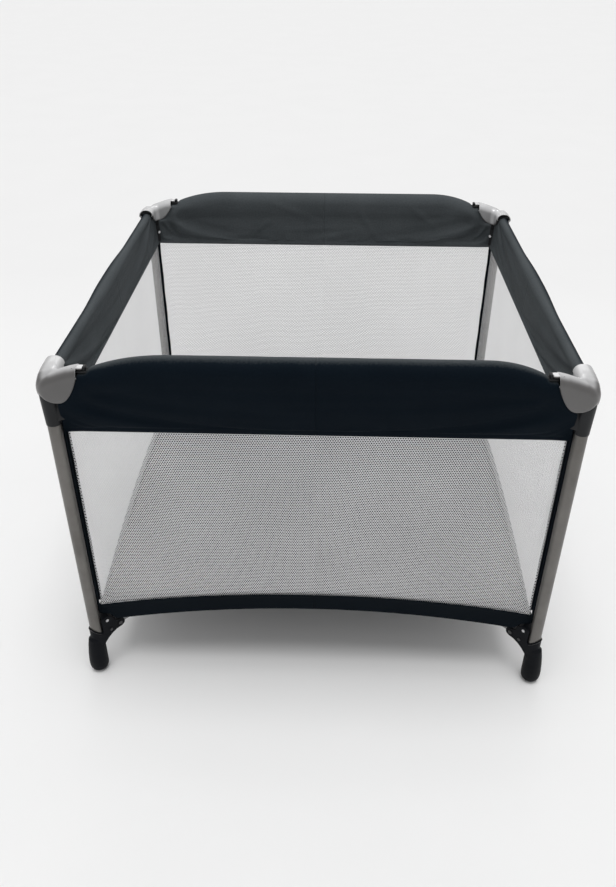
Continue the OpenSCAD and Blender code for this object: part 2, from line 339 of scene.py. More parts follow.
def woven(name, dark, light, pitch, depth, roughness=0.82, gloss=0.08, uv=True, inside=None):
    """Plain weave: two sets of threads, slubs, and slow changes of shade.

    Where the cloth looks inwards it can be painted lighter in the pair of colours inside, as
    painted light on the inner faces and over the top of the roll.
    """
    m = Nodes(name, Specular_IOR_Level=gloss)
    place = m.uv() if uv else m.place
    warp = m.ridges(pitch, "X", place)
    weft = m.ridges(pitch, "Y", place)
    cross = m.math("MAXIMUM", warp, weft)
    slub = m.noise(240, 3, 0.6, place)
    shade = m.noise(7, 4, 0.55)
    mixed = m.math("MULTIPLY", m.math("ADD", shade, slub), 0.5)
    stops = [(0.32, dark), (0.68, light)]
    if inside:
        # painted light: faces turned inwards, and the top of the roll in part, take the lighter
        # inside colours as if lit
        inwards = m.facing((0, 1, 0), -0.85, 0.30)
        mixed = m.math("MULTIPLY", m.math("ADD", mixed, inwards), 0.5)
        stops = [(0.16, dark), (0.34, light), (0.66, inside[0]), (0.84, inside[1])]
    m.colours(mixed, stops)
    m.roughness(slub, roughness - 0.06, roughness + 0.08)
    low = m.bump(cross, depth, 0.5)
    m.bump(slub, depth, 0.4, low)
    return m.material


def knitted(name, colour):
    """Polyester yarn of the net: white with a soft sheen and twisted fibres."""
    m = Nodes(name, Sheen_Weight=0.1, Sheen_Roughness=0.4, Specular_IOR_Level=0.3)
    shade = m.noise(5, 3, 0.5)
    fibre = m.noise(2600, 2, 0.6)
    m.colours(shade, [(0.3, tuple(0.9 * c for c in colour)), (0.7, colour)])
    m.roughness(fibre, 0.5, 0.75)
    m.bump(fibre, 0.00015, 0.5)
    return m.material


WEAVE = {"pitch": 0.0009, "depth": 0.0002}

MATERIALS = {
    "leg": satin_metal("leg_finish", (0.125, 0.119, 0.111), (0.180, 0.172, 0.162), 0.30, 0.46),
    "bar": satin_metal("bar_finish", (0.20, 0.20, 0.205), (0.28, 0.28, 0.285), 0.30, 0.48),
    "foot": moulded("foot_finish", (0.002, 0.0025, 0.0038), (0.004, 0.005, 0.0072),
                    roughness=0.50, gloss=0.10),
    "black": moulded("black_finish", (0.007, 0.008, 0.009), (0.014, 0.015, 0.017),
                     roughness=0.42),
    # the cap's sides are painted dark as shade and its top painted light as a highlight from above
    "cap": moulded("cap_finish", (0.074, 0.071, 0.070), (0.102, 0.098, 0.097),
                   roughness=0.32, grain=0.00005, coat=0.7, gloss=0.5, metallic=0.1,
                   painted_lit_top=((0.46, 0.46, 0.465), (0.66, 0.66, 0.665))),
    "button": moulded("button_finish", (0.09, 0.09, 0.095), (0.13, 0.13, 0.135), roughness=0.4),
    "pin": plated("pin_finish", (0.70, 0.70, 0.71)),
    "net": knitted("net_yarn", (0.84, 0.84, 0.85)),
    # the inside colours are painted light on the cloth's inner faces and the top of the roll
    "cover": woven("cover_cloth", (0.0015, 0.0042, 0.0078), (0.0036, 0.0076, 0.0125), **WEAVE,
                   roughness=0.70, gloss=0.05,
                   inside=((0.056, 0.064, 0.069), (0.088, 0.098, 0.104))),
    "band": woven("band_cloth", (0.0020, 0.0040, 0.0065), (0.0040, 0.0070, 0.0105), **WEAVE),
    "strap": woven("strap_weave", (0.008, 0.008, 0.009), (0.018, 0.018, 0.02),
                   pitch=0.0016, depth=0.0004, uv=False),
    "floor": woven("floor_cloth", (0.010, 0.011, 0.013), (0.018, 0.020, 0.023),
                   pitch=0.0011, depth=0.0002),
    "mat": woven("mat_cloth", (0.030, 0.033, 0.036), (0.052, 0.055, 0.058),
                 pitch=0.0012, depth=0.00025),
}

NODE_MATERIALS = {
    "leg_tube": "leg", "arm_tube": "bar", "rail_tube": "bar", "foot": "foot",
    "corner_housing": "black", "corner_cap": "cap", "leg_hardware": "pin", "hub_pins": "pin",
    "hub_base": "black", "hub_cover": "black", "hub_foot": "foot", "lift_strap": "strap",
    "lock_housing": "black", "lock_button": "button", "wall_fabric": "net",
    "rail_cover": "cover", "floor_fabric": "floor", "mat": "mat",
}


def paint_frame():
    """Gives every CAD node its material."""
    for name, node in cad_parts.items():
        kind = max((k for k in NODE_MATERIALS if name.startswith(k)), key=len)
        material = MATERIALS[NODE_MATERIALS[kind]]
        for slot in node.material_slots:
            slot.material = material
        if not node.material_slots:
            node.data.materials.append(material)


# ---- Stage, light and camera -------------------------------------------------------


def area_light(name, place, target, size, power, spread):
    """A rectangular softbox that looks at its target; spread is in degrees."""
    lamp = bpy.data.lights.new(name, "AREA")
    lamp.shape = "RECTANGLE"
    lamp.size, lamp.size_y = size
    lamp.energy = power
    lamp.spread = math.radians(spread)
    obj = bpy.data.objects.new(name, lamp)
    obj.location = place
    obj.rotation_euler = (Vector(target) - Vector(place)).to_track_quat("-Z", "Y").to_euler()
    bpy.context.scene.collection.objects.link(obj)


def build_stage():
    """The pale studio floor, an even sky, a soft sun overhead and a thin softbox behind."""
    side = 60
    corners = [(-side, -side, 0), (side, -side, 0), (side, side, 0), (-side, side, 0)]
    m = Nodes("studio_floor", Specular_IOR_Level=0.2)
    m.colours(m.noise(3, 3), [(0.3, (0.84, 0.84, 0.84)), (0.7, (0.85, 0.85, 0.85))])
    m.roughness(m.noise(30, 3), 0.7, 0.8)
    floor = new_object("studio_floor", corners, [(0, 1, 2, 3)], m.material)
    floor.location.z = -0.0005

    world = bpy.data.worlds.new("studio")
    world.use_nodes = True
    world.node_tree.nodes["Background"].inputs["Color"].default_value = (1, 1, 1, 1)
    world.node_tree.nodes["Background"].inputs["Strength"].default_value = 0.58
    bpy.context.scene.world = world
    bpy.context.scene.view_settings.view_transform = "Standard"
    sun = bpy.data.lights.new("key", "SUN")
    sun.energy = 1.5
    sun.angle = math.radians(35)
    key = bpy.data.objects.new("key", sun)
    key.rotation_euler = (math.radians(6), 0, math.radians(10))
    bpy.context.scene.collection.objects.link(key)
    area_light("back", (0, 3.2, 2.7), (0, 0, 0.6), (5.0, 0.5), 4, 60)


def build_camera():
    """A camera in front of the pen that looks 34 degrees down on it."""
    camera = bpy.data.cameras.new("camera")
    camera.sensor_width = 36
    focal_share = 806 / 887     # focal length as a share of the picture's long side
    camera.lens = camera.sensor_width * focal_share
    obj = bpy.data.objects.new("camera", camera)
    obj.location = (0.0238, -1.697, 1.428)
    yaw, pitch, roll = (math.radians(a) for a in (1.75, -33.76, -0.13))
    turn = (
        Matrix.Rotation(yaw, 4, "Z")
        @ Matrix.Rotation(pitch, 4, "X")
        @ Matrix.Rotation(roll, 4, "Y")
        @ Matrix.Rotation(math.pi / 2, 4, "X")
    )
    obj.rotation_euler = turn.to_euler()
    bpy.context.scene.collection.objects.link(obj)
    bpy.context.scene.camera = obj


# ---- Net walls ---------------------------------------------------------------------


def sag(middle, drop, s):
    """Height of an edge that falls from mid side to the corner."""
    return middle - drop * ((HALF - s) / (HALF - NET_T)) ** 2


def band_edges(s):
    """Lower and upper edge of the band along a side."""
    low = sag(BAND_BOTTOM, BAND_BOTTOM_DROP, s)
    over_bracket = BAND_BOTTOM - 0.027
    low = low + (over_bracket - low) * (1 - smooth_step(s, 0.030, 0.046))
    return low, sag(BAND_TOP, BAND_TOP_DROP, s)


def beside_leg(s, t):
    """How far in a wall stands: it comes out to the leg at the corner."""
    return t - (t - CORNER_T) * (1 - smooth_step(s, 0.0136, 0.050))


def billow(s, z, seed):
    """How far a wall bends in and out of its plane; nothing at its edges."""
    across = np.sin(math.pi * np.clip((z - 0.19) / (SEAM_Z - 0.19), 0, 1))
    ripple = 0.6 * np.sin(s * 17 + seed) + 0.4 * np.sin(s * 41 + z * 5 + 2 * seed)
    fade = smooth_step(s, 0.02, 0.10)
    return 0.003 * across * fade * (ripple + 0.35)


def polygon_areas(corners):
    """Areas of many polygons of the same size; corners is an array of (polygon, corner, 2)."""
    x, y = corners[..., 0], corners[..., 1]
    return (x * np.roll(y, -1, 1) - np.roll(x, -1, 1) * y).sum(1) / 2


def net_mesh(second, seed):
    """Half a wall of hexagonal net: the corners of its holes, joined by flat strands."""
    row_step = NET_PITCH * math.sqrt(3) / 2
    hole_r = (NET_PITCH - NET_STRAND) / math.sqrt(3)
    bottom = BAND_BOTTOM - BAND_BOTTOM_DROP
    columns = int((HALF - CORNER_T) / NET_PITCH)
    rows = int((INNER_SEAM_Z + 0.004 - bottom) / row_step)
    column, row = np.meshgrid(np.arange(-1, columns + 1), np.arange(rows + 1))
    odd = row % 2
    s = HALF - (column + 0.5 * odd) * NET_PITCH
    z = bottom + row * row_step
    low, high = band_edges(s)
    keep = (z > (low + high) / 2) & (s > CORNER_T + 0.0012) & (s < HALF + 0.6 * NET_PITCH)
    number = np.full(s.shape, -1)
    number[keep] = np.arange(keep.sum())

    # corner 0 of a hole is at its top; 1 and 2 face the leg, 3 is below, 4 and 5 face mid side
    angles = np.radians(90 + 60 * np.arange(6))
    ring = hole_r * np.stack([np.cos(angles), np.sin(angles)], 1)
    flat = (np.stack([s[keep], z[keep]], 1)[:, None] + ring[None]).reshape(-1, 2)
    flat[:, 0] = np.minimum(flat[:, 0], HALF)

    def neighbour(rows_up, columns_on):
        r, c = row + rows_up, column + 1 + columns_on
        inside = (r <= rows) & (c >= 0) & (c < number.shape[1])
        found = number[np.minimum(r, rows), np.clip(c, 0, number.shape[1] - 1)]
        return np.where(inside, found, -1)

    beside = neighbour(0, 1)
    above_leg = neighbour(1, odd)
    above_mid = neighbour(1, odd - 1)
    strands = []
    for holes, picks in (
        ((number, number, beside, beside), (1, 2, 4, 5)),
        ((number, number, above_leg, above_leg), (0, 1, 3, 4)),
        ((number, number, above_mid, above_mid), (5, 0, 2, 3)),
        ((number, above_leg, above_mid), (0, 4, 2)),
        ((number, beside, above_leg), (1, 5, 3)),
    ):
        real = np.all([h >= 0 for h in holes], axis=0)
        face = np.stack([h[real] * 6 + pick for h, pick in zip(holes, picks)], 1)
        area = np.abs(polygon_areas(flat[face]))
        strands.append((face[area > 1e-9], area[area > 1e-9].sum()))

    t = beside_leg(flat[:, 0], NET_T) + billow(flat[:, 0], flat[:, 1], seed)
    points = to_side(np.stack([flat[:, 0], t, flat[:, 1]], 1), second)
    faces = [tuple(f) for face, _ in strands for f in face.tolist()]
    return points, faces if second else flipped(faces), sum(area for _, area in strands)


def fold_to_leg(piece):
    """Gives a piece of the walls a mesh of its own."""
    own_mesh(piece)


def half_walls():
    """Each half of each side: the turns to its corner, the corner, the side, and if mirrored."""
    for turns, corner in enumerate(CORNERS):
        yield turns, corner, SIDES[turns], False
        yield turns, corner, SIDES[turns - 1], True


def stand_at_leg(piece, turns, corner):
    """Puts a soft piece of the walls at its leg, in the place of the CAD's cloth."""
    quarter_turn(piece, turns)
    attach(piece, "leg_" + corner)
    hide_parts("wall_fabric_" + corner)


def build_nets():
    for turns, corner, side, second in half_walls():
        points, faces, cut = net_mesh(second, 1.3 * SIDES.index(side))
        name = f"net_{side}_{corner}"
        net = new_object(name, points, faces, MATERIALS["net"], smooth=False)
        stand_at_leg(net, turns, corner)
        fold_to_leg(net)


# ---- Bands and bindings ------------------------------------------------------------


def cloth_grid(name, rows, material, second=False):
    """A cloth from rows of (s, t, z) points, with its own lengths in metres as UVs."""
    rows = np.array(rows, float)
    count, columns = rows.shape[:2]
    faces = grid_faces(count, columns)
    faces = flipped(faces) if second else faces
    obj = new_object(name, to_side(rows.reshape(-1, 3), second), faces, material)
    along = np.linalg.norm(np.diff(rows, axis=1, prepend=rows[:, :1]), axis=2).cumsum(1)
    up = np.linalg.norm(np.diff(rows, axis=0, prepend=rows[:1]), axis=2).cumsum(0)
    put_uvs(obj, np.stack([along, up], 2).reshape(-1, 2))
    return obj


def put_uvs(obj, places):
    """Gives each vertex its place on the flat cloth."""
    layer = obj.data.uv_layers.new(name="cloth")
    corner = np.zeros(len(obj.data.loops), np.int32)
    obj.data.loops.foreach_get("vertex_index", corner)
    layer.data.foreach_set("uv", np.asarray(places, np.float32)[corner].ravel())


def smooth_surface(obj):
    modifier = obj.modifiers.new("smooth", "SUBSURF")
    modifier.levels = modifier.render_levels = 1
    return obj


def band_rows():
    """The lower band from beside the leg to mid side, with a hem along each edge."""
    s = np.concatenate([np.linspace(0.0125, 0.06, 12), np.linspace(0.07, HALF, 44)])
    low, high = band_edges(s)
    lip, hem, past_hem, raised = 0.0008, 0.0070, 0.0082, 0.0011
    rows = []
    for share, inset, out in (
        (0, 0, 0), (0, lip, raised), (0, hem, raised), (0, past_hem, 0),
        (0.35, 0, 0), (0.65, 0, 0),
        (1, -past_hem, 0), (1, -hem, raised), (1, -lip, raised), (1, 0, 0),
    ):
        z = low + (high - low) * share + inset
        wave = 0.0007 * np.sin(s * 46 + 3 * share) * np.sin(math.pi * share)
        rows.append(np.stack([s, beside_leg(s, BAND_T) - BAND_OUT - out + wave, z], 1))
    return rows


def tube_along(path, radius):
    """Points and faces of a round tube along a path of points."""
    sides = 10
    path = np.array(path, float)
    forward = np.gradient(path, axis=0)
    forward /= np.linalg.norm(forward, axis=1)[:, None]
    up = np.array([0.35, 0.25, 0.9])
    side = np.cross(forward, up)
    side /= np.linalg.norm(side, axis=1)[:, None]
    up = np.cross(side, forward)
    points = []
    for place, right, over in zip(path, side, up):
        for k in range(sides):
            a = 2 * math.pi * k / sides
            points.append(place + radius * (math.cos(a) * right + math.sin(a) * over))
    return points, ring_faces(len(path), sides)


def build_bands():
    rows = band_rows()
    for turns, corner, side, second in half_walls():
        band = cloth_grid(f"band_{side}_{corner}", rows, MATERIALS["band"], second)
        thicken(smooth_surface(band), 0.0012)
        stand_at_leg(band, turns, corner)
        fold_to_leg(band)


def build_bindings():
    """Binding tape inside each corner of the walls, and the piping outside it."""
    inside = CORNER_T + 0.0012
    folded = [(-0.0030, -0.0002), (0.0052, 0), (0.0051, 0.0008),
              (0.0012, 0.0011), (0.0006, 0.0024), (0.0002, 0.0034)]
    rows = []
    for z in np.linspace(mat_low.z, INNER_SEAM_Z + 0.004, 30):
        wave = 0.0004 * math.sin(z * 60)
        rows.append([(inside + a + wave, inside + b, z) for a, b in folded])
    heights = np.linspace(BAND_BOTTOM - 0.02, SEAM_Z + PIPING_OVER_SEAM, 24)
    path = [(PIPING_AT, PIPING_AT, z) for z in heights]
    for turns, corner in enumerate(CORNERS):
        tape = cloth_grid("binding_" + corner, rows, MATERIALS["band"], turns % 2 == 1)
        thicken(tape, 0.0007, 0)
        points, faces = tube_along(path, PIPING_R)
        piping = new_object("piping_" + corner, to_side(points), faces, MATERIALS["band"])
        put_uvs(piping, np.array(points)[:, [0, 2]])
        for piece in (tape, piping):
            stand_at_leg(piece, turns, corner)


# ---- Rail covers -------------------------------------------------------------------

COVER_ROWS_OUT = 26
COVER_ROWS_ROLL = 16
COVER_ROWS_IN = 24
COVER_COLUMNS = 74              # in half a side
COVER_HEM = np.array([0, 0.0064, 0.0520, 0.0624])   # its lines, as shares of the fall
HEM_RAISED = 0.0010
LOW_HEM_BOW = 1.5               # how far the cloth bows out over an outer hem
HIGH_HEM_BOW = 1.9
OUTER_HEM_T = 0.0163
INNER_HEM_T = 0.0200
COVER_END_TOP = 0.752           # under the tongue of the cap
COVER_RISE_FROM = 0.759
CAP_EDGE = (0.6965, 0.7510)     # the cap's outer edge rises along an arm from and to
CAP_INNER_EDGE = (0.7120, 0.7490)
CAP_EDGE_FROM = 0.022           # the edge begins to rise this far along the arm
COVER_CORNER_IN = 0.0205        # the inner faces of two covers meet at the corner
TUCK_T = 0.0148                 # half the room between the walls of a cap
TUCK_REACH = 0.016

# where the slope of the padding ends at the left and right of a side; 0 is a plain rail
COVER_SLOPES = {"front": (0.225, 0.185), "back": (0.190, 0.215), "left": (0, 0), "right": (0, 0)}
COVER_LOOSENESS = {"front": 0.008, "right": 0.008, "back": 0.055, "left": 0.010}
COVER_CREASES = {
    "back": [((0.617, 0.765), (0.494, 0.715)), ((0.666, 0.680), (0.615, 0.722)),
             ((0.603, 0.690), (0.385, 0.700)), ((0.510, 0.660), (0.366, 0.692)),
             ((0.385, 0.750), (0.330, 0.668)), ((0.250, 0.760), (0.170, 0.700))],
}


def padded_top(s, slope_end):
    """Height of the padded roll: low under the tongue, then rising to the full padding."""
    tongue_end = 0.076
    lip = (COVER_RISE_FROM - COVER_END_TOP) * smooth_step(s, 0.070, 0.084)
    share = np.clip((s - tongue_end) / (slope_end - tongue_end), 0, 1)
    return COVER_END_TOP + lip + (COVER_TOP - COVER_RISE_FROM) * (1 - (1 - share) ** 2.2)


def edge_at_height(z, edge):
    """How far along an arm the round edge of the cap is at height z."""
    low, high = edge
    share = np.clip((z - low) / (high - low), 0, 1)
    return CAP_EDGE_FROM + (CAP_END - CAP_EDGE_FROM) * np.sqrt(share)


def cover_start(z, inner):
    """Where a cover begins at height z: past the cap's edge, and further down at the socket."""
    gap = 0.0012
    if inner:
        return edge_at_height(z, CAP_INNER_EDGE) + gap if z > 0.706 else COVER_CORNER_IN
    if z > CAP_EDGE[0]:
        return edge_at_height(z, CAP_EDGE) + gap
    return np.interp(z, [SEAM_Z, 0.655, 0.690], [0.0090, 0.0172, 0.0185])


def cover_section(s, slope_end, v, hem_z):
    """One row of half a cover: v runs 0 to 1 up the outside, 1 to 2 over the roll, 2 to 3 down.

    A cover without a slope_end is a plain one, with no padding on its rail.
    """
    if slope_end:
        radius = ROLL_R + 0 * s
        bend = padded_top(s, slope_end) - radius
    else:
        radius = PLAIN_R + (LOCK_R - PLAIN_R) * smooth_step(s, HALF - 0.20, HALF - 0.04)
        bend = RAIL_Z + 0 * s
    if v < 1:
        z = hem_z + (bend - hem_z) * v
        bow = LOW_HEM_BOW if hem_z == SEAM_Z else HIGH_HEM_BOW
        t = -radius + (radius + beside_leg(s, OUTER_HEM_T) - 0.0006) * (1 - v) ** bow
    elif v <= 2:
        angle = math.pi * (v - 1)
        z = bend + radius * math.sin(angle)
        t = -radius * math.cos(angle)
    else:
        z = bend - (bend - INNER_SEAM_Z) * (v - 2)
        t = radius - (radius - INNER_HEM_T) * (v - 2) ** 0.8
    return t, z


def cover_rows(slope_ends, hem_z):
    """Rows of a whole cover in the side's frame, from its left end to its right end."""
    hem = COVER_HEM
    outside = np.concatenate([hem, np.linspace(hem[-1], 1, COVER_ROWS_OUT - 3)[1:-1]])
    roll = np.linspace(1, 2, COVER_ROWS_ROLL)
    inner_fall = np.linspace(2, 3 - hem[-1], COVER_ROWS_IN - 3)[1:]
    inside = np.concatenate([inner_fall, 3 - hem[::-1][1:]])
    rows = []
    for v in np.concatenate([outside, roll, inside]):
        halves = []
        for slope_end in slope_ends:
            _, end_z = cover_section(np.array([COVER_END]), slope_end, v, hem_z)
            start = float(cover_start(end_z[0], v > 1.5))
            s = start + (HALF - start) * np.linspace(0, 1, COVER_COLUMNS + 1) ** 1.15
            t, z = cover_section(s, slope_end, v, hem_z)
            in_cap = v < 2.2 and end_z[0] > 0.690
            tuck = np.exp(-(((s - start) / TUCK_REACH) ** 2)) * in_cap
            t = t + (np.clip(t, -TUCK_T, TUCK_T) - t) * tuck
            in_hem = 0 < v < hem[2] + 1e-6 or 3 - hem[2] - 1e-6 < v < 3
            t = t + (-HEM_RAISED if v < 1 else HEM_RAISED) * in_hem
            halves.append(np.stack([s, t, z], 1))
        left, right = halves
        right = right[::-1] * (-1, 1, 1) + (2 * HALF, 0, 0)
        rows.append(np.concatenate([left, right[1:]]))
    return np.array(rows)


def creased(rows, creases):
    """Raises soft creases on the inner face; each runs between two (s, z) places."""
    height, width, inner_t = 0.0024, 0.0075, 0.012
    flat = rows[..., [0, 2]]
    for start, end in creases:
        start, end = np.array(start), np.array(end)
        run = end - start
        share = np.clip(((flat - start) @ run) / (run @ run), 0, 1)
        off = np.linalg.norm(flat - start - share[..., None] * run, axis=2)
        fade = np.sin(math.pi * (0.1 + 0.8 * share))
        inner = rows[..., 1] > inner_t
        rows[..., 1] += height * fade * np.exp(-((off / width) ** 2)) * inner
    return rows


def clear_of_rail(rows, before):
    """Keeps the cloth from sinking towards the rail and its lock."""
    sink, reach = 0.0006, 0.030
    new, old = rows[..., 1:] - (0, RAIL_Z), before[..., 1:] - (0, RAIL_Z)
    distance = np.linalg.norm(new, axis=2)
    least = np.linalg.norm(old, axis=2) - sink
    near = before[..., 2] > RAIL_Z - reach
    grow = np.where(near, np.maximum(1, least / np.maximum(distance, 1e-6)), 1)
    rows[..., 1:] = new * grow[..., None] + (0, RAIL_Z)
    return rows


def crumple(obj, rows, loose, frames, most):
    """Lets a cloth that is a little too large settle, pinned at its hems and ends.

    It runs for some frames, and no point moves further than most.
    """
    loosely, firmly = 0.015, 1.0
    weight = np.full(rows.shape[:2], loosely)
    weight[:5] = weight[-5:] = firmly
    weight[:, :3] = weight[:, -3:] = firmly
    group = obj.vertex_groups.new(name="pin")
    for value in (loosely, firmly):
        chosen = np.flatnonzero(np.isclose(weight.ravel(), value))
        group.add([int(i) for i in chosen], value, "REPLACE")
    before = np.array([v.co for v in obj.data.vertices])
    cloth = obj.modifiers.new("cloth", "CLOTH")
    for setting, value in {
        "quality": 5, "mass": 0.25, "air_damping": 2,
        "tension_stiffness": 12, "compression_stiffness": 8,
        "shear_stiffness": 4, "bending_stiffness": 0.35, "shrink_min": -loose,
        "vertex_group_mass": "pin", "pin_stiffness": 1,
        "use_pressure": True, "uniform_pressure_force": 0.6,
    }.items():
        setattr(cloth.settings, setting, value)
    cloth.collision_settings.use_collision = False
    cloth.point_cache.frame_start = 1
    cloth.point_cache.frame_end = frames
    for number in range(1, frames + 1):
        bpy.context.scene.frame_set(number)
    apply_modifiers(obj)
    bpy.context.scene.frame_set(1)
    after = np.array([v.co for v in obj.data.vertices])
    moved = after - before
    length = np.linalg.norm(moved, axis=1)
    moved *= (np.tanh(length / most) * most / np.maximum(length, 1e-9))[:, None]
    return (before + moved).reshape(rows.shape)


def build_covers():
    """One cloth over each rail, settled as a whole and then parted at its lock."""
    for turns, side in enumerate(SIDES):
        rows = cover_rows(COVER_SLOPES[side], OUTER_HEMS[side])
        whole = new_object("cloth_" + side, to_side(rows.reshape(-1, 3)),
                           grid_faces(*rows.shape[:2]), MATERIALS["cover"])
        settled = crumple(whole, rows, COVER_LOOSENESS[side], 24, 0.007) + (HALF, HALF, 0)
        rows = clear_of_rail(settled, rows)
        bpy.data.objects.remove(whole)
        rows = creased(rows, COVER_CREASES.get(side, []))
        left_rail = FIRST_RAILS[turns]
        right_rail = SECOND_RAILS[(turns + 1) % 4]
        middle = rows.shape[1] // 2
        for rail, part in ((left_rail, rows[:, : middle + 1]), (right_rail, rows[:, middle:])):
            cover = cloth_grid("cover_" + rail, part, MATERIALS["cover"])
            thicken(smooth_surface(cover), 0.0014)
            quarter_turn(cover, turns)
            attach(cover, "rail_" + rail)
            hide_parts("rail_cover_" + rail)
            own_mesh(cover)


# ---- Corner caps -------------------------------------------------------------------


# height of a cap's top at distances from the leg axis along its two arms
HIGH_ARM = ([-0.020, 0.010, 0.030, 0.045, 0.060], [0.727, 0.746, 0.7535, 0.7585, 0.7620])
LOW_ARM = ([-0.020, 0.010, 0.022, 0.036, 0.060], [0.727, 0.745, 0.7475, 0.7490, 0.7495])


def cap_height(x, y):
    """Top of the cap, with its high arm along x and its low arm along y, meeting softly."""
    a, b = np.interp(x, *HIGH_ARM), np.interp(y, *LOW_ARM)
    soft, about = 0.0016, 0.75
    return soft * np.log(np.exp((a - about) / soft) + np.exp((b - about) / soft)) + about


def cap_lower_edge(along, edge):
    """Height of a wall's round lower edge along an arm; it rises a little over the corner."""
    low, high = edge
    share = np.clip((along - CAP_EDGE_FROM) / (CAP_END - CAP_EDGE_FROM), 0, 1)
    over_corner = 0.012 * (np.clip(0.015 - along, 0, 1) / 0.025) ** 1.6
    return low + (high - low) * share ** 2 + over_corner


def cap_plan():
    """Pairs of outer and inner points along the cap, and how far each is along its arm."""
    fillet = 0.013
    outer, inner, along = [], [], []
    straight = CAP_END - (CAP_END - CAP_HALF - fillet) * np.linspace(0, 1, 20) ** 1.8
    for x in straight:
        outer.append((x, -CAP_HALF))
        inner.append((x, CAP_HALF))
        along.append(x)
    arm = CAP_HALF + fillet
    arc = CAP_HALF * math.pi / 2
    whole = 2 * arm + arc
    for share in np.linspace(0, 1, 34)[1:-1]:
        run = share * whole
        if run < arm:
            outer.append((arm - run, -CAP_HALF))
            along.append(arm - run)
        elif run < arm + arc:
            a = (run - arm) / CAP_HALF
            outer.append((-CAP_HALF * math.sin(a), -CAP_HALF * math.cos(a)))
            along.append(-CAP_HALF * math.sin(min(a, math.pi / 2 - a)) * 1.4)
        else:
            outer.append((-CAP_HALF, run - arm - arc))
            along.append(run - arm - arc)
        turn = share * math.pi / 2
        inner.append((arm - fillet * math.sin(turn), arm - fillet * math.cos(turn)))
    for x in straight[::-1]:
        outer.append((-CAP_HALF, x))
        inner.append((CAP_HALF, x))
        along.append(x)
    return np.array(outer), np.array(inner), np.array(along)


def cap_mesh():
    """The shell of a corner cap: outer wall, domed top and inner skirt."""
    outer, inner, along = cap_plan()
    across = inner - outer
    width = np.linalg.norm(across, axis=1)[:, None]
    across = across / width
    round_out, round_in = 0.0145, 0.0130
    columns = []

    def add(plan, drop=None, z=None):
        height = cap_height(plan[:, 0], plan[:, 1])
        columns.append(np.column_stack([plan, height - drop if z is None else z]))

    def wall(plan, way, rounding, edge, places, shares):
        """Rows up a wall, each at a share of its height and pulled in a little."""
        rim = cap_height(plan[:, 0], plan[:, 1]) - rounding
        bottom = np.minimum(cap_lower_edge(places, edge), rim - 0.0004)
        for share, pull in shares:
            add(plan + way * pull, z=bottom + (rim - bottom) * share)

    wall(outer, across, round_out, CAP_EDGE, along, (
        (0, 0.0030), (0.02, 0.0018), (0.08, 0.0012), (0.35, 0.0003), (0.7, 0)))
    for angle in np.radians(np.linspace(0, 90, 9)):
        shift = round_out * (1 - math.cos(angle))
        add(outer + across * shift, drop=round_out * (1 - math.sin(angle)))
    add(outer + across * (round_out + (width - round_out - round_in) * 0.5), drop=0)
    for angle in np.radians(np.linspace(90, 0, 8)):
        shift = round_in * (1 - math.cos(angle))
        add(inner - across * shift, drop=round_in * (1 - math.sin(angle)))
    wall(inner, -across, round_in, CAP_INNER_EDGE, np.maximum(along, CAP_EDGE_FROM), (
        (0.7, 0), (0.35, 0), (0.08, 0), (0.02, 0.0004), (0, 0.0012)))
    rows = np.array(columns)
    return rows.reshape(-1, 3), grid_faces(*rows.shape[:2])


def rounded_block(low, high, radius):
    """Points and faces of a box with rounded edges along x and soft ends."""
    (x0, y0, z0), (x1, y1, z1) = low, high
    sides, squareness = 16, 0.35
    points = []
    for x, inset in ((x0, radius), (x0 + radius, 0), (x1 - radius, 0), (x1, radius)):
        half_y, half_z = (y1 - y0) / 2 - inset * 0.6, (z1 - z0) / 2 - inset * 0.6
        for k in range(sides):
            cy, cz = math.cos(2 * math.pi * k / sides), math.sin(2 * math.pi * k / sides)
            points.append((
                x,
                (y0 + y1) / 2 + half_y * math.copysign(abs(cy) ** squareness, cy),
                (z0 + z1) / 2 + half_z * math.copysign(abs(cz) ** squareness, cz),
            ))
    return points, ring_faces(4, sides)


def build_caps():
    """A cap on each corner, its tongue and the small block at the tongue's end.

    The high arm lies along the front or the back, so every other corner is a mirror image.
    """
    points, faces = cap_mesh()
    tongue = rounded_block((CAP_END - 0.009, -0.0080, CAP_TOP - 0.0034),
                           (CAP_END + 0.0105, 0.0080, CAP_TOP + 0.0006), 0.0012)
    block = rounded_block((CAP_END + 0.0098, -0.0068, CAP_TOP - 0.0060),
                          (CAP_END + 0.0165, 0.0068, CAP_TOP + 0.0022), 0.0014)
    for turns, corner in enumerate(CORNERS):
        mirrored = turns % 2 == 1
        for name, (places, sides), finish, slot in (
            ("corner_cap_shell_", (points, faces), "cap", "cap_plastic"),
            ("cap_tongue_", tongue, "cap", "cap_plastic"),
            ("tongue_block_", block, "black", "black_plastic"),
        ):
            piece = new_object(name + corner, to_side(places, mirrored),
                               flipped(sides) if mirrored else sides, MATERIALS[finish])
            smooth_surface(piece)
            if places is points:
                thicken(piece, 0.0022)
            quarter_turn(piece, turns)
            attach(piece, "leg_" + corner)
            if finish == "cap":
                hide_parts("corner_cap_" + corner)


# ---- Moulded parts with soft edges -------------------------------------------------


def softened(node, name, voxel, passes):
    """A copy of a CAD node whose edges are rounded as a mould rounds them."""
    obj = bpy.data.objects.new(name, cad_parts[node].data.copy())
    bpy.context.scene.collection.objects.link(obj)
    remesh = obj.modifiers.new("remesh", "REMESH")
    remesh.mode = "VOXEL"
    remesh.voxel_size = voxel
    remesh.use_smooth_shade = True
    relax = obj.modifiers.new("relax", "SMOOTH")
    relax.factor = 0.5
    relax.iterations = passes
    apply_modifiers(obj)
    return obj


def build_moulded(kind, name, voxel, passes, finish):
    """The same kind of moulded part at all four legs."""
    for corner in CORNERS:
        piece = softened(f"{kind}_{corner}", f"{name}_{corner}", voxel, passes)
        piece.data.materials.clear()
        piece.data.materials.append(MATERIALS[finish])
        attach(piece, "leg_" + corner)
        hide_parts(f"{kind}_{corner}")


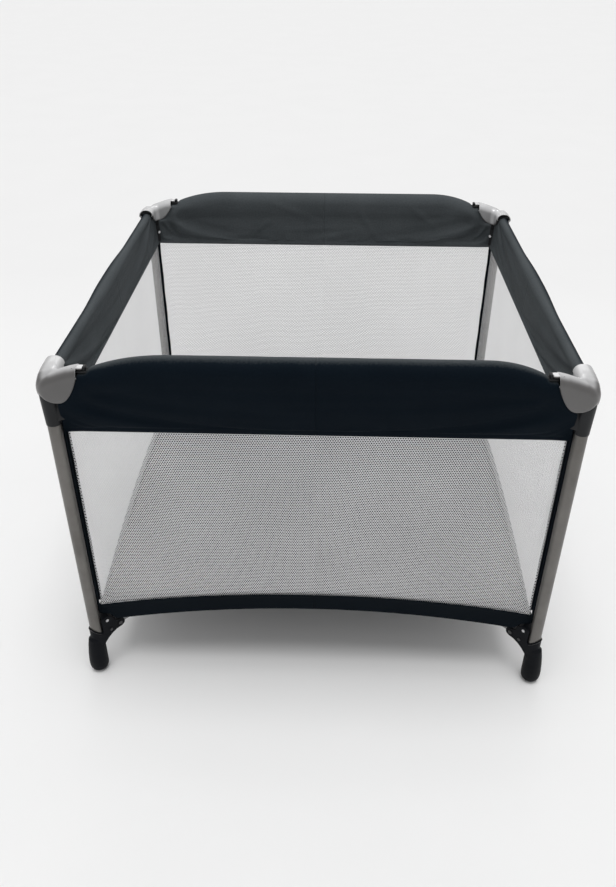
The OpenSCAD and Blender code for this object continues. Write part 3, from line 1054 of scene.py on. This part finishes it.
def build_foot_rings():
    """The bright ring under the slanting rim of each foot's sleeve."""
    sides, around = 8, 72
    ring_r, wire_r, middle, slant = 0.0147, 0.0007, 0.1085, 0.90
    points = []
    for k in range(around):
        a = 2 * math.pi * k / around
        out = np.array([math.cos(a), math.sin(a), 0])
        towards_hub = (out[0] + out[1]) / math.sqrt(2) * ring_r
        centre = ring_r * out + (0, 0, middle - slant * towards_hub)
        for j in range(sides):
            b = 2 * math.pi * j / sides
            points.append(centre + wire_r * (math.cos(b) * out + np.array([0, 0, math.sin(b)])))
    faces = flipped(ring_faces(around, sides, closed=True))
    for turns, corner in enumerate(CORNERS):
        ring = new_object("foot_ring_" + corner, to_side(points), faces, MATERIALS["pin"])
        quarter_turn(ring, turns)
        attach(ring, "leg_" + corner)


# ---- Floor and mat -----------------------------------------------------------------


def floor_rows(edge, middle):
    """A quarter of the floor cloth; by the walls it bends down to the band's upper edge."""
    steps, bend = 40, 0.05
    w, v = np.meshgrid(np.linspace(0, 1, steps + 1), np.linspace(0, 1, steps + 1))
    x, y = -edge * w, -edge * v
    ripple = 0.0009 * np.sin(31 * x) * np.sin(27 * y)
    hang = 0.0006 * np.abs(np.sin(math.pi * w) * np.sin(math.pi * v))

    def drop(across, along):
        seam = sag(BAND_TOP, BAND_TOP_DROP, HALF + along) - 0.0015
        return np.maximum(middle - seam, 0) * (1 - smooth_step(edge + across, 0, bend))

    z = middle + ripple - hang - np.maximum(drop(y, x), drop(x, y))
    return np.stack([x + HALF, y + HALF, z], 2)


def cut_hole(obj, half_x, half_y):
    """Removes the faces within a rectangle round the middle of the object's own frame."""
    bm = bmesh.new()
    bm.from_mesh(obj.data)
    centres = [(face, face.calc_center_median()) for face in bm.faces]
    inside = [face for face, c in centres if abs(c.x) < half_x and abs(c.y) < half_y]
    bmesh.ops.delete(bm, geom=inside, context="FACES")
    bm.to_mesh(obj.data)
    bm.free()


def build_floor():
    """The floor cloth in four quarters, each held by the arm under it, with a hand hole."""
    hole = (0.045, 0.030)
    edge = floor_high.x
    rows = floor_rows(edge, (floor_low.z + floor_high.z) / 2)
    for turns, corner in enumerate(CORNERS):
        obj = cloth_grid("floor_cloth_" + corner, rows, MATERIALS["floor"])
        cut_hole(obj, *(hole if turns % 2 == 0 else reversed(hole)))
        thicken(obj, 0.0022, 0)
        quarter_turn(obj, turns)
        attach(obj, "arm_" + corner)
        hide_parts("floor_fabric")
        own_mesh(obj)


def closer_at_ends(low, high, steps):
    """Places from low to high in even steps, with two more near each end."""
    ends = np.array([0, 0.35, 0.75])
    step = np.concatenate([ends, np.arange(1, steps), steps - ends[::-1]])
    return low + (high - low) * step / steps


def mat_relief(x, y):
    """Slow puffs and finer creases in the top of the mat."""
    puff = 0.0016 * math.sin(x * 23 + y * 9) * math.sin(y * 31 - x * 7)
    crease = math.sin(x * 71 + 2.3 * math.sin(y * 40)) * math.sin(y * 17 + x * 11)
    return puff + 0.0012 * crease


def mat_panel(name, low, high):
    """One padded panel: crowned faces, rounded edges and a welt round its middle."""
    edge, welt, sunk = 0.008, 0.18, 0.0024
    (x0, y0, z0), (x1, y1, z1) = low, high
    xs, ys = closer_at_ends(x0, x1, 60), closer_at_ends(y0, y1, 18)
    middle, half = (z0 + z1) / 2, (z1 - z0) / 2
    points = []
    for sign in (1, -1):
        for y in ys:
            for x in xs:
                inset = min(x - x0, x1 - x, y - y0, y1 - y)
                full = 1 - (1 - min(inset / edge, 1)) ** 2.4
                height = half * (welt + (1 - welt) * max(full, 0) ** 0.5)
                if sign > 0:
                    height += (mat_relief(x, y) - sunk) * full
                points.append((x, y, middle + sign * height))
    columns, rows = len(xs), len(ys)
    count = columns * rows
    top = grid_faces(rows, columns)
    faces = top + [tuple(i + count for i in reversed(f)) for f in top]
    rim = list(range(columns))
    rim += [r * columns + columns - 1 for r in range(1, rows)]
    rim += [(rows - 1) * columns + c for c in range(columns - 2, -1, -1)]
    rim += [r * columns for r in range(rows - 2, 0, -1)]
    for a, b in zip(rim, rim[1:] + rim[:1]):
        faces.append((b, a, a + count, b + count))
    obj = new_object(name, points, faces, MATERIALS["mat"])
    put_uvs(obj, np.array(points)[:, :2])
    return smooth_surface(obj)


def build_mat():
    """Four padded panels with a fold between neighbours."""
    folds, gap = 4, 0.003
    side = mat_high.x - mat_low.x
    panel = (side - (folds - 1) * gap) / folds
    for k in range(folds):
        y = mat_low.y + k * (panel + gap)
        low = (mat_low.x, y - gap * 0.3, mat_low.z)
        high = (mat_high.x, y + panel + gap * 0.3, mat_high.z)
        obj = mat_panel(f"mat_panel_{k + 1}", low, high)
        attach(obj, "mat")
        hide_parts("mat")
        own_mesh(obj)


paint_frame()
build_stage()
build_camera()
build_nets()
build_bands()
build_bindings()
build_covers()
build_caps()
build_moulded("foot", "foot_shell", 0.0010, 6, "foot")
build_moulded("corner_housing", "corner_socket", 0.0009, 5, "black")
build_foot_rings()
build_floor()
build_mat()
